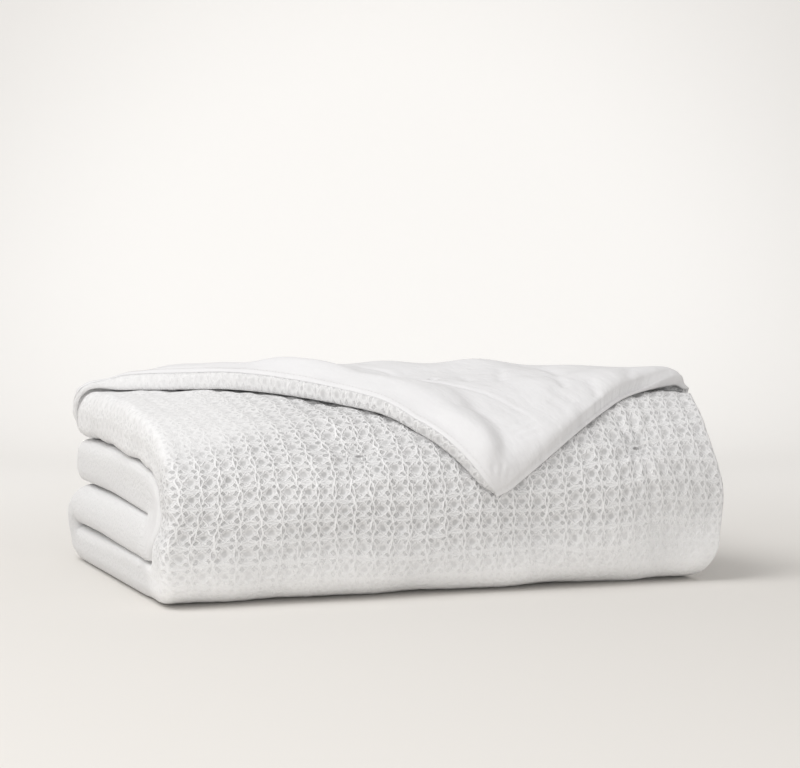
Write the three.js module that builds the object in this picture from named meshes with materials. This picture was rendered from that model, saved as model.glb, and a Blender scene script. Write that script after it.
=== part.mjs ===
// White waffle comforter, folded in half twice along its length and twice along its depth,
// with the free corner of the top layer turned over so that its plain back shows.
// Millimetres, +Z up, the rounded front fold towards -Y, the stacked rolls at -X.
import * as THREE from "three";

// Folded sizes
const FOLDED_LENGTH = 592;
const FOLDED_DEPTH = 438;
const STACK_HEIGHT = 190;
const LAYERS = 4;
const STRIP = STACK_HEIGHT / LAYERS;
const LAYER = STRIP / LAYERS;

// The filled cloth
const LAYER_GAP = 1.0;
const HALF_LAYER = (LAYER - LAYER_GAP) / 2;
const BACK_CLOTH = 1.6;
const BACK_GAP = 0.9;
const EDGE_ROUND = 8;
const EDGE_LEAST = 0.9;
const EDGE_BULGE = 5;
const EDGE_STOPS = [0, EDGE_ROUND];
// Rows of a bulging edge, as shares of its half thickness
const RIM_ROWS = [0.6, -0.6];

// Free edges that stop short of the fold beside them
const TOP_SHORT = 15;
const SECOND_SHORT = 22;
const INNER_SHORT = 8;

// The turned corner: where its crease leaves the back edge, its angle and its bend
const CREASE_START = 592;
const CREASE_ANGLE = THREE.MathUtils.degToRad(28);
const CREASE_RADIUS = 8.2;
const HALF_BEND = CREASE_RADIUS * Math.PI / 2;
const CORNER_LOFT = 1.75;
const LOFT_LENGTH = 20;
const CREASE_LINES = [-0.5, -0.25, 0, 0.25, 0.5];
// The crease is drawn tighter and the corner is thinner where they leave the back edge
const HOOK = { width: 55, draw: 0.3, thin: 0.5 };
// Slack in the turned corner draws its tip back along its left edge
const TIP_DRAW = { across: 4, down: -40 };
const TIP_PAST = CREASE_START * Math.sin(CREASE_ANGLE);
// The right edge of the turned corner rounds down, from a little way past the crease
const SIDE_ROWS = [
  { across: 0, share: 1 },
  { across: 7, share: 0.25 },
  { across: 14, share: 0.07 },
  { across: 26, share: 0 },
];
const SIDE_ROUND = SIDE_ROWS.at(-1).across;
const SIDE_STOPS = SIDE_ROWS.map((row) => row.across);
const SIDE_DROP = 0.68;
const SIDE_FADE = 60;
const SIDE_THIN = 0.6;
// The turned corner is fullest beside its crease
const CORNER_CROWN = { across: 160, down: 190, width: 85, height: 4.5 };

// Tack stitches that show, measured from the two free edges that meet at the turned corner
const TACKS = [
  { across: 93, down: 414 },
  { across: 397, down: 399 },
];
const TACK_DEPTH = 6;
const TACK_SPREAD = 13;
const TACK_STOPS = [-18, 0, 18];

// How the stack settles under its own weight
const FOOT_SQUASH = 0.84;
// How much the inner layers spread, and the outer wrap thins, round the front fold
const WRAP_SQUEEZE = 0.4;
// Squareness of the rolls at the left end, and of the front fold above and below
const END_POWER = 2.7;
const SHOULDER_POWER = 2.0;
const FOOT_POWER = 4.2;
// The top falls towards the front from this far back, and less at the right end
const SLOPE_DROP = 31;
const SLOPE_RIGHT = 0.72;
const SLOPE_START = 50;
const SLOPE_LENGTH = 210;
const SLOPE_POWER = 1.5;
const END_FADE = 150;
const LEFT_ROLLS = [
  { height: 0, shift: -2 },
  { height: 18, shift: -10 },
  { height: 58, shift: -17 },
  { height: 100, shift: -8 },
  { height: 160, shift: -3 },
  { height: 220, shift: 0 },
];
const RIGHT_ENDS = [
  { height: 0, shift: -26 },
  { height: 40, shift: -14 },
  { height: 90, shift: -10 },
  { height: 150, shift: -17 },
  { height: 185, shift: -11 },
  { height: 225, shift: 9 },
];
const CROWN = 6.5;
const RIGHT_RISE = 11;
const FRONT_WAVE = 2.5;
const TOP_WAVE = -1;
const WAVE_LENGTH = 290;
const WAVE_START = 0.8;

// Stops keep this far apart, and a cut that passes a point closer than this goes through the point
const STOP_LEAST = 2.5;
const SNAP = 2;

// Colours
const WAFFLE_WHITE = 0xf1efea;
const PLAIN_WHITE = 0xf6f5f2;

// A straight run of cloth
function straight(length, steps) {
  return { cloth: length, travel: length, turn: 0, steps };
}

// A half turn of the cloth: the radius of the path, and the radius where the cloth is measured
function halfTurn(radius, measured, sense, steps) {
  return { cloth: Math.PI * measured, travel: Math.PI * radius, turn: sense * Math.PI, steps };
}

// Path across the length, one layer thick, from the free right edge of the top layer
const ACROSS_PATH = [
  straight(FOLDED_LENGTH - 2 * LAYER, 7),
  halfTurn(1.5 * LAYER, 1.5 * LAYER, 1, 6),
  straight(FOLDED_LENGTH - 3 * LAYER, 2),
  halfTurn(0.5 * LAYER, 0.5 * LAYER, 1, 3),
  straight(FOLDED_LENGTH - 3 * LAYER, 2),
  halfTurn(0.5 * LAYER, 0.5 * LAYER, -1, 3),
  straight(FOLDED_LENGTH - 2 * LAYER - INNER_SHORT, 2),
];

// Path along the depth, four layers thick, from the free back edge of the top strip.
// Its cloth is measured on the outermost layer.
const OUTER_LAYER = 1.5 * LAYER;
const FRONT_STEPS = 11;
const DEPTH_PATH = [
  straight(FOLDED_DEPTH - 2 * STRIP - TOP_SHORT, 6),
  halfTurn(1.5 * STRIP, 1.5 * STRIP + OUTER_LAYER, 1, FRONT_STEPS),
  straight(FOLDED_DEPTH - 3 * STRIP, 2),
  halfTurn(0.5 * STRIP, 0.5 * STRIP + OUTER_LAYER, 1, 5),
  straight(FOLDED_DEPTH - 3 * STRIP, 1),
  halfTurn(0.5 * STRIP, 0.5 * STRIP - OUTER_LAYER, -1, 5),
  straight(FOLDED_DEPTH - 2 * STRIP - SECOND_SHORT, 2),
];

function clothLength(path) {
  return path.reduce((sum, row) => sum + row.cloth, 0);
}

const CLOTH_ACROSS = clothLength(ACROSS_PATH);
const CLOTH_DOWN = clothLength(DEPTH_PATH);

function clamp01(value) {
  return Math.min(Math.max(value, 0), 1);
}

function smooth(value) {
  const share = clamp01(value);
  return share * share * (3 - 2 * share);
}

// Point and heading after a distance along a path, seen from the end of the stack
function walk(path, start, level, distance) {
  let along = start;
  let up = level;
  let heading = Math.PI;
  let left = distance;
  for (const row of path) {
    const share = row === path.at(-1) ? left / row.cloth : Math.min(left / row.cloth, 1);
    if (row.turn === 0) {
      along += Math.cos(heading) * row.travel * share;
      up += Math.sin(heading) * row.travel * share;
    } else {
      const radius = row.travel / row.turn;
      const next = heading + row.turn * share;
      along += radius * (Math.sin(next) - Math.sin(heading));
      up -= radius * (Math.cos(next) - Math.cos(heading));
      heading = next;
    }
    left -= row.cloth;
    if (left <= 0) break;
  }
  return { along, up, heading };
}

// Smooth value from a table of heights and shifts
function shiftAt(rows, height) {
  let shift = rows[0].shift;
  for (let i = 1; i < rows.length; i += 1) {
    const share = (height - rows[i - 1].height) / (rows[i].height - rows[i - 1].height);
    shift += (rows[i].shift - rows[i - 1].shift) * smooth(share);
  }
  return shift;
}

// Growth that draws a circle about nought out to a squared circle
function squaring(first, second, power) {
  const radius = Math.hypot(first, second);
  if (radius === 0) return 1;
  return ((Math.abs(first) / radius) ** power + (Math.abs(second) / radius) ** power) ** (-1 / power);
}

// The settled stack: a square shoulder and foot on the front fold, flatter lower layers,
// ends that move in and out from layer to layer, a low crown and soft waves
function settle(x, y, z) {
  const centre = 2 * STRIP;
  let depth = y;
  let height = z;
  const reach = centre - y;
  const rise = z - centre;
  const radius = Math.hypot(reach, rise);
  if (reach > 0 && radius > 0) {
    const squeeze = 1 + WRAP_SQUEEZE * Math.max(1 - radius / centre, 0) * (reach / radius) ** 2;
    const grow = squeeze * squaring(reach, rise, rise > 0 ? SHOULDER_POWER : FOOT_POWER);
    depth = centre - reach * grow;
    height = centre + rise * grow;
  }
  height *= FOOT_SQUASH + (1 - FOOT_SQUASH) * (height / STACK_HEIGHT);
  const leftShare = smooth(1 - x / END_FADE);
  const rightShare = smooth(1 - (FOLDED_LENGTH - x) / END_FADE);
  const length = x + shiftAt(LEFT_ROLLS, height) * leftShare + shiftAt(RIGHT_ENDS, height) * rightShare;
  const level = height / STACK_HEIGHT;
  const place = clamp01(x / FOLDED_LENGTH);
  const wave = Math.sin(2 * Math.PI * x / WAVE_LENGTH + WAVE_START);
  const bulge = Math.sin(Math.PI * clamp01(level)) * smooth(reach / centre);
  const crown = CROWN * Math.sin(Math.PI * place) + RIGHT_RISE * smooth(place);
  const drop = SLOPE_DROP * (1 - SLOPE_RIGHT * smooth(2 * place - 1));
  const fall = drop * (1 - clamp01((depth - SLOPE_START) / SLOPE_LENGTH)) ** SLOPE_POWER;
  height += (crown + TOP_WAVE * wave - fall) * level * level;
  return [length, depth + FRONT_WAVE * wave * bulge, height];
}

// A point of the folded stack from its place on the cloth and its distance off the middle of the layer
function foldedPoint(across, down, off) {
  const layer = walk(ACROSS_PATH, FOLDED_LENGTH, 3.5 * LAYER, across);
  const reach = 2 * LAYER - layer.along - off * Math.sin(layer.heading);
  const rise = layer.up - off * Math.cos(layer.heading) - 2 * LAYER;
  const grow = reach > 0 ? squaring(reach, rise, END_POWER) : 1;
  const lift = rise * grow;
  const strip = walk(DEPTH_PATH, FOLDED_DEPTH - TOP_SHORT, 3.5 * STRIP, down);
  const y = strip.along + lift * Math.sin(strip.heading);
  const z = strip.up - lift * Math.cos(strip.heading) - LAYER_GAP / 2;
  return settle(2 * LAYER - reach * grow, y, z);
}

// Distance past the crease, towards the turned corner
function pastCrease(across, down) {
  return (CREASE_START - across) * Math.sin(CREASE_ANGLE) - down * Math.cos(CREASE_ANGLE);
}

// How far down the stack a point of the turned corner ends
function turnedDown(across, down) {
  const past = pastCrease(across, down);
  return down + 2 * past * Math.cos(CREASE_ANGLE) + TIP_DRAW.down * past / TIP_PAST;
}

// One where the crease leaves the back edge, falling away round it
function hookShare(across, down) {
  const away = Math.hypot(across - CREASE_START, down) / HOOK.width;
  return Math.exp(-away * away);
}

// Turns the corner over its crease, then folds it with the rest
function clothPoint(across, down, off) {
  const past = pastCrease(across, down);
  const radius = CREASE_RADIUS * (1 - HOOK.draw * hookShare(across, down));
  const halfBend = radius * Math.PI / 2;
  const turn = Math.PI * clamp01((past + halfBend) / (2 * halfBend));
  if (turn === 0) return foldedPoint(across, down, off);
  const beyond = Math.max(past - halfBend, 0);
  const turned = radius * Math.sin(turn) - halfBend - beyond - off * Math.sin(turn);
  const lift = radius * (1 - Math.cos(turn)) + off * Math.cos(turn);
  const moved = past - turned;
  const drawn = Math.max(past, 0) / TIP_PAST;
  const newAcross = across + moved * Math.sin(CREASE_ANGLE) + TIP_DRAW.across * drawn;
  const newDown = down + moved * Math.cos(CREASE_ANGLE) + TIP_DRAW.down * drawn;
  return foldedPoint(newAcross, newDown, lift);
}

// Half thickness of the filled cloth: thin at the sewn edges, fuller on the turned corner
function halfThickness(across, down) {
  const edge = Math.min(across, CLOTH_ACROSS - across, down, CLOTH_DOWN - down);
  const inward = 1 - clamp01(edge / EDGE_ROUND);
  const round = EDGE_LEAST + (1 - EDGE_LEAST) * Math.sqrt(1 - inward * inward);
  const loft = 1 + (CORNER_LOFT - 1) * smooth((pastCrease(across, down) - HALF_BEND) / LOFT_LENGTH);
  const hook = 1 - HOOK.thin * hookShare(across, down) * turnedShare(across, down);
  return HALF_LAYER * round * loft * hook;
}

// Nought before the crease, one past its bend
function turnedShare(across, down) {
  return smooth((pastCrease(across, down) + HALF_BEND) / (2 * HALF_BEND));
}

// One at the right edge of the turned corner, falling to nought by straight runs
function sideShare(across) {
  const next = SIDE_ROWS.findIndex((row) => row.across > across);
  if (next < 1) return across < SIDE_ROUND ? 1 : 0;
  const [before, after] = [SIDE_ROWS[next - 1], SIDE_ROWS[next]];
  const part = (across - before.across) / (after.across - before.across);
  return before.share + (after.share - before.share) * part;
}

// How far a sewn edge bulges, less at the right edge of the turned corner
function edgeOut(across, down) {
  const near = 1 - clamp01(across / SIDE_ROUND);
  return EDGE_BULGE * (1 - SIDE_THIN * turnedShare(across, down) * near);
}

// The outer side of the back: full on the turned corner, and rounded down at that corner's right edge
function backSide(across, down) {
  const past = pastCrease(across, down) - HALF_BEND;
  const side = sideShare(across);
  const away = Math.hypot(across - CORNER_CROWN.across, down - CORNER_CROWN.down) / CORNER_CROWN.width;
  const full = CORNER_CROWN.height * Math.exp(-away * away) * smooth(past / LOFT_LENGTH);
  const rounded = 2 * SIDE_DROP * side * smooth(past / SIDE_FADE);
  return halfThickness(across, down) * (rounded - 1) - full * (1 - side);
}

// Depth of the dimples drawn in by the tack stitches
function tackDimple(across, down) {
  return TACKS.reduce((sum, tack) => {
    const away = Math.hypot(across - tack.across, down - tack.down) / TACK_SPREAD;
    return sum + TACK_DEPTH * Math.exp(-away * away);
  }, 0);
}

// Stops along one direction of the cloth: the steps of each run, the edges, the tacks and some more
function stopsAlong(path, tackPlaces, more) {
  const total = clothLength(path);
  const wanted = [...EDGE_STOPS, ...EDGE_STOPS.map((edge) => total - edge), ...more];
  tackPlaces.forEach((place) => TACK_STOPS.forEach((step) => wanted.push(place + step)));
  const fixed = [];
  let begin = 0;
  for (const row of path) {
    for (let i = 0; i < row.steps; i += 1) fixed.push(begin + row.cloth * i / row.steps);
    begin += row.cloth;
  }
  const stops = [...wanted];
  const spare = (place) => stops.every((other) => Math.abs(other - place) > STOP_LEAST);
  fixed.forEach((place) => {
    if (spare(place)) stops.push(place);
  });
  return [...new Set(stops)].sort((first, second) => first - second);
}

// The cloth laid flat as triangles between its stops
function flatCloth() {
  const acrossStops = stopsAlong(ACROSS_PATH, TACKS.map((tack) => tack.across), SIDE_STOPS);
  const downStops = stopsAlong(DEPTH_PATH, TACKS.map((tack) => tack.down), []);
  const points = [];
  const triangles = [];
  downStops.forEach((down) => acrossStops.forEach((across) => points.push([across, down])));
  const row = acrossStops.length;
  for (let j = 0; j + 1 < downStops.length; j += 1) {
    for (let i = 0; i + 1 < row; i += 1) {
      const corner = j * row + i;
      triangles.push([corner, corner + 1, corner + row]);
      triangles.push([corner + 1, corner + row + 1, corner + row]);
    }
  }
  return { points, triangles };
}

// Cuts the flat triangles along a line, so that a bend there is smooth. The line is where a distance is
// nought, and it is cut only between points that lie in its field.
function score(cloth, distance, inField) {
  const side = cloth.points.map(([across, down]) => {
    const away = distance(across, down);
    return Math.abs(away) < SNAP || !inField(across, down) ? 0 : away;
  });
  const cuts = new Map();
  const triangles = [];
  const cutBetween = (a, b) => {
    const key = a < b ? `${a}_${b}` : `${b}_${a}`;
    if (!cuts.has(key)) {
      const share = side[a] / (side[a] - side[b]);
      const from = cloth.points[a];
      const to = cloth.points[b];
      cuts.set(key, cloth.points.length);
      cloth.points.push([from[0] + (to[0] - from[0]) * share, from[1] + (to[1] - from[1]) * share]);
    }
    return cuts.get(key);
  };
  for (const triangle of cloth.triangles) {
    const crossed = [0, 1, 2].filter((i) => side[triangle[i]] * side[triangle[(i + 1) % 3]] < 0);
    if (crossed.length === 0) {
      triangles.push(triangle);
    } else if (crossed.length === 1) {
      const [a, b, c] = [0, 1, 2].map((i) => triangle[(crossed[0] + i) % 3]);
      const middle = cutBetween(a, b);
      triangles.push([a, middle, c], [middle, b, c]);
    } else {
      const tip = [0, 1, 2].find((i) => !crossed.includes((i + 1) % 3));
      const [a, b, c] = [0, 1, 2].map((i) => triangle[(tip + i) % 3]);
      const first = cutBetween(a, b);
      const second = cutBetween(c, a);
      triangles.push([a, first, second], [first, b, c], [first, c, second]);
    }
  }
  cloth.triangles = triangles;
}

// Moves a point of a free edge outwards
function outward(place, total, bulge) {
  if (place === 0) return -bulge;
  return place === total ? total + bulge : place;
}

// The three sides of a triangle
function sidesOf([a, b, c]) {
  return [[a, b], [b, c], [c, a]];
}

// A closed solid between two sides of the cloth, with a wall along the free edges that bulges outwards.
// Its points are in rows: the upper side, the rows of the wall and the lower side.
function solidBetween(cloth, upper, lower, bulge) {
  const count = cloth.points.length;
  const positions = [];
  const rows = [1, ...RIM_ROWS, -1];
  rows.forEach((share) => cloth.points.forEach(([across, down]) => {
    const out = Math.abs(share) === 1 ? 0 : bulge(across, down);
    const [high, low] = [upper(across, down), lower(across, down)];
    const off = (high + low) / 2 + share * (high - low) / 2;
    positions.push(...clothPoint(outward(across, CLOTH_ACROSS, out), outward(down, CLOTH_DOWN, out), off));
  }));
  const edges = new Set();
  cloth.triangles.forEach((triangle) => sidesOf(triangle).forEach(([i, j]) => edges.add(`${i}_${j}`)));
  const index = [];
  const last = (rows.length - 1) * count;
  for (const triangle of cloth.triangles) {
    const [a, b, c] = triangle;
    index.push(a, b, c, last + a, last + c, last + b);
    for (const [i, j] of sidesOf(triangle)) {
      if (!edges.has(`${j}_${i}`)) {
        for (let row = 0; row < last; row += count) {
          const next = row + count;
          index.push(row + i, next + i, next + j, row + i, next + j, row + j);
        }
      }
    }
  }
  const geometry = new THREE.BufferGeometry();
  geometry.setAttribute("position", new THREE.Float32BufferAttribute(positions, 3));
  geometry.setIndex(index);
  return geometry;
}

const cloth = flatCloth();
const everywhere = () => true;
const onCorner = (across, down) => pastCrease(across, down) > HALF_BEND - SNAP;
const creaseLines = [
  ...CREASE_LINES.map((share) => 2 * share * HALF_BEND),
  HALF_BEND + LOFT_LENGTH / 2,
  HALF_BEND + LOFT_LENGTH,
];
creaseLines.forEach((line) => score(cloth, (across, down) => pastCrease(across, down) - line, everywhere));
const [topRun, frontBend] = DEPTH_PATH;
for (let i = 0; i <= FRONT_STEPS; i += 1) {
  const line = topRun.cloth + frontBend.cloth * i / FRONT_STEPS;
  score(cloth, (across, down) => turnedDown(across, down) - line, onCorner);
}

const faceSide = (across, down) => halfThickness(across, down) - tackDimple(across, down);
const backInside = (across, down) => backSide(across, down) + BACK_CLOTH;
const fillingSide = (across, down) => backInside(across, down) + BACK_GAP;

const waffleFace = new THREE.Mesh(
  solidBetween(cloth, faceSide, fillingSide, edgeOut),
  new THREE.MeshStandardMaterial({ color: WAFFLE_WHITE, roughness: 0.95, metalness: 0 }),
);
waffleFace.name = "waffle_face";

const plainBack = new THREE.Mesh(
  solidBetween(cloth, backInside, backSide, () => BACK_CLOTH / 2),
  new THREE.MeshStandardMaterial({ color: PLAIN_WHITE, roughness: 0.85, metalness: 0 }),
);
plainBack.name = "plain_back";

// The origin is under the middle of the stack, on the surface it rests on
const comforter = new THREE.Group();
comforter.name = "folded_waffle_comforter";
comforter.add(waffleFace, plainBack);
const box = new THREE.Box3().setFromObject(comforter);
const middle = box.getCenter(new THREE.Vector3());
[waffleFace, plainBack].forEach((mesh) => mesh.geometry.translate(-middle.x, -middle.y, -box.min.z));

export default comforter;
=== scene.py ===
"""White waffle comforter, folded into a stack, with a corner of its top layer turned over.

The cloth is described flat, by its distance across and down from the corner that is turned over,
and its distance off the middle of the layer. Fold functions carry those three to the stack, in metres.
"""

import math
from types import SimpleNamespace

import bpy
import numpy as np
from bpy.props import FloatProperty, FloatVectorProperty, PointerProperty
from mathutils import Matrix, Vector


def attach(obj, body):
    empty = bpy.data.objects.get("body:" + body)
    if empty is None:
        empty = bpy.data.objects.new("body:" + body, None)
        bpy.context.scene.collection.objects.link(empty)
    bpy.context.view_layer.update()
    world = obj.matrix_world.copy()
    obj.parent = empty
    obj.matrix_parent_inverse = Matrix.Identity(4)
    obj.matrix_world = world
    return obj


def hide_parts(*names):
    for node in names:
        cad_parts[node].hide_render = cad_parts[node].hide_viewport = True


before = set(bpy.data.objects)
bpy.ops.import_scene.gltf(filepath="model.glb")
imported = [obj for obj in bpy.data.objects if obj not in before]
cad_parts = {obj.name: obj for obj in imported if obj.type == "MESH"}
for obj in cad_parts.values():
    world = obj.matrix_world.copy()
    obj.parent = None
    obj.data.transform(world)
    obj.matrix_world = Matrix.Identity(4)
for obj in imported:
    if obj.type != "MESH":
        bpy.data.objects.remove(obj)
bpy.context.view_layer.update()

bl_info = {
    "name": "Folded waffle comforter",
    "version": (1, 0, 0),
    "blender": (4, 5, 0),
    "location": "View3D > Sidebar > Comforter",
    "description": "Builds a folded white waffle comforter with a turned corner, and a plain studio",
    "category": "Object",
}

TINY = 1e-9

# How far the ends of the stack move in or out at each height: height, shift
LEFT_ROLLS = np.array([(0.0, -0.006), (0.018, -0.011), (0.058, -0.014), (0.1, -0.004),
                       (0.16, -0.003), (0.19, 0.0), (0.215, 0.007)])
RIGHT_ENDS = np.array([(0.0, -0.026), (0.04, -0.014), (0.09, -0.01),
                       (0.15, -0.017), (0.185, -0.014), (0.208, 0.002)])

# Tack stitches that show: across, down
TACKS = np.array([(0.093, 0.414), (0.397, 0.399)])

# Soft swells of the filling: waves in a metre across and down, start, height
LUMPS = np.array([
    (7.1, 4.3, 0.4, 0.0008),
    (-5.2, 9.4, 2.1, 0.0006),
    (13.7, 6.2, 4.0, 0.0004),
    (4.4, -15.1, 1.3, 0.0004),
])

# Unevenness of the weave: waves in a metre across and down, start, shift
WEAVE_DRIFT = np.array([
    (5.3, 3.1, 0.7, 0.0016),
    (-8.9, 6.7, 2.6, 0.0010),
    (17.3, -12.1, 4.4, 0.0006),
    (31.0, 27.0, 1.9, 0.0003),
])

# Creases of the turned corner, from a place to a place: across, down, across, down, bow, width, height
CREASES = np.array([
    (0.230, 0.078, 0.024, 0.097, 0.003, 0.0024, 0.0006),
    (0.230, 0.074, 0.028, 0.093, 0.003, 0.0024, -0.0012),
    (0.310, 0.046, 0.160, 0.070, 0.000, 0.0040, -0.0018),
    (0.268, 0.096, 0.200, 0.079, 0.003, 0.0040, -0.0015),
    (0.206, 0.078, 0.188, 0.134, 0.003, 0.0045, -0.0012),
    (0.172, 0.097, 0.161, 0.097, 0.000, 0.0035, -0.0030),
    (0.080, 0.062, 0.022, 0.018, 0.013, 0.0090, -0.0010),
    (0.024, 0.024, 0.005, 0.004, 0.000, 0.0024, -0.0018),
    (0.014, 0.028, 0.002, 0.009, 0.000, 0.0024, -0.0016),
    (0.030, 0.013, 0.009, 0.002, 0.000, 0.0024, -0.0016),
    (0.050, 0.062, 0.034, 0.094, 0.000, 0.0026, -0.0010),
    (0.039, 0.060, 0.025, 0.090, 0.000, 0.0026, -0.0010),
    (0.029, 0.060, 0.017, 0.086, 0.000, 0.0026, -0.0009),
    (0.030, 0.184, 0.005, 0.170, 0.002, 0.0045, -0.0024),
    (0.072, 0.172, 0.036, 0.154, 0.003, 0.0050, -0.0026),
    (0.112, 0.206, 0.058, 0.176, 0.004, 0.0060, -0.0024),
    (0.158, 0.128, 0.130, 0.108, 0.002, 0.0045, -0.0020),
    (0.128, 0.164, 0.100, 0.130, -0.004, 0.0050, -0.0024),
    (0.020, 0.240, 0.004, 0.222, 0.000, 0.0050, -0.0022),
    (0.040, 0.128, 0.012, 0.124, 0.002, 0.0040, -0.0018),
    (0.052, 0.146, 0.016, 0.142, -0.002, 0.0040, -0.0018),
])

# Lines that end the full roll along the corner's left edge: across, down, across, down, bow, width
ROLL_LINES = np.array([
    (0.300, 0.066, 0.014, 0.098, 0.004, 0.045),
    (0.080, 0.062, 0.022, 0.018, 0.013, 0.027),
])

# Parts of the waffle face that the turned corner covers: across and down
COVERED_ACROSS = 0.40
COVERED_DOWN = 0.215
TIP_COVERS = (0.09, 0.33)
TIP_COVERS_DOWN = 0.33

# The part of the plain back with fine creases: across and down
CREASED_ACROSS = 0.25
CREASED_DOWN = 0.11

# Steps between the points of the meshes, the band of fine ones at an edge, and the rings of a sewn edge
COARSE_STEP = 0.045
UNDER_CORNER, UNDER_BEND, UNDER_WRAP, UNDER_STRAIGHT = 0.010, 0.004, 0.008, 0.03
PLAIN_FINE, PLAIN_MEDIUM, PLAIN_SHOWN, PLAIN_BEND = 0.0023, 0.0046, 0.010, 0.0025
EDGE_BAND = 0.014
EDGE_RINGS = 10

# Fixed values of the folds, in metres and shares
FOLD_FIXED = dict(
    # Layers made by folding in half twice, and the middle of the stack
    layers=4, origin_x=0.285263, origin_y=0.212334,
    # Space between the plain back and the filling
    back_gap=0.0004,
    # A sewn edge: width over which it thins, thickness left, how far it rounds outwards, squareness
    edge_round=0.008, edge_least=0.9, edge_bulge=0.005, edge_power=3.5,
    # The crease's bend at the back edge: how much tighter and thinner it is, over which distance
    hook_draw=0.30, hook_thin=0.28, hook_wide=0.055,
    # The same at the right edge, where it also reaches out and rises, over a depth and a length,
    # and less below the top by a power
    pinch_draw=0.66, pinch_thin=0.6, pinch_wide=0.022, pinch_reach=0.018, pinch_rise=0.003,
    pinch_deep=0.034, pinch_long=0.050, pinch_power=8,
    # Distance past the crease over which the corner fills out
    loft_length=0.020,
    # The corner's right edge rounds down: width, squareness, drop, and distance from the crease to begin
    side_round=0.026, side_power=3.2, side_drop=0.78, side_fade=0.060,
    # That rounding at the tip: how much wider, its squareness, distance over which it narrows
    side_tip=0.9, side_tip_power=2.0, side_tip_long=0.075,
    # That edge bulges less than others, and bows in, drawing in the cloth beside it
    side_thin=0.6, side_bow=0.009, side_bow_wide=0.100,
    # Slack that draws the tip back, and how far and over which distance its two edges are drawn in
    tip_across=0.004, tip_down=-0.037, tip_blunt=0.0035, tip_blunt_wide=0.012,
    # Thickness the lowest layer keeps, and thinning of the outer wrap round the front fold
    foot_squash=0.84, wrap_squeeze=0.4,
    # Squareness of the left rolls, also by the front fold, and the depths where they flatten towards it
    end_power=3.3, front_power=7.0, front_from=0.300, front_over=0.200,
    # Growth of those rolls that closes the gaps between them, and squareness of the lowest where it rests
    end_close=0.017, rest_power=5.0,
    # Squareness of the front fold above and below
    shoulder_power=2.0, foot_power=4.2,
    # The top's fall: share lost at the right end, depth where it is whole, depth it takes, its shape
    slope_right=0.86, slope_start=0.050, slope_length=0.210, slope_power=1.5,
    # Distance over which the ends move, and where the waves begin
    end_fade=0.150, wave_start=0.8,
)

# Fixed values of the sewn edges, tacks and swells, in metres, radians and shares
DETAIL_FIXED = dict(
    # Plain cloth round the right edge: turn away from the corner, space, squareness, width that gives way
    roll_least=math.radians(14), roll_clear=0.0006, roll_power=2.2, roll_tuck=0.020,
    # Plain cloth over the left edge's seam: how far it turns, and the thickness lost there
    lap_turn=math.radians(26), lap_thin=0.85,
    # Fullness along the corner's left edge: its distance from the edge and its width
    edge_roll_at=0.024, edge_roll_wide=0.017,
    # The left roll: distance over which it rises, where it begins to sink across, over which distance
    left_roll_rise=0.034, left_roll_ends=0.280, left_roll_sinks=0.160,
    # Distance over which creases fade at the corner's edges
    crease_fade=0.008,
    # Fullness of the corner by its crease: its place and half width
    corner_crown_across=0.160, corner_crown_down=0.190, corner_crown_wide=0.085,
    # A tack: half length and width of its slit, half width of its hollow, folds, and how they draw the weave
    tack_slit_long=0.0095, tack_slit_wide=0.0034, tack_bowl_wide=0.028, tack_gathers=9, tack_pull=0.3,
    # The painted shade in that slit: its depth, half length and half width
    tack_mark=0.65, tack_mark_long=0.0060, tack_mark_wide=0.0026,
    # Distance of the swell below a tack, and to the right of it
    tack_belly_at=0.020, tack_belly_aside=0.012,
)

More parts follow.
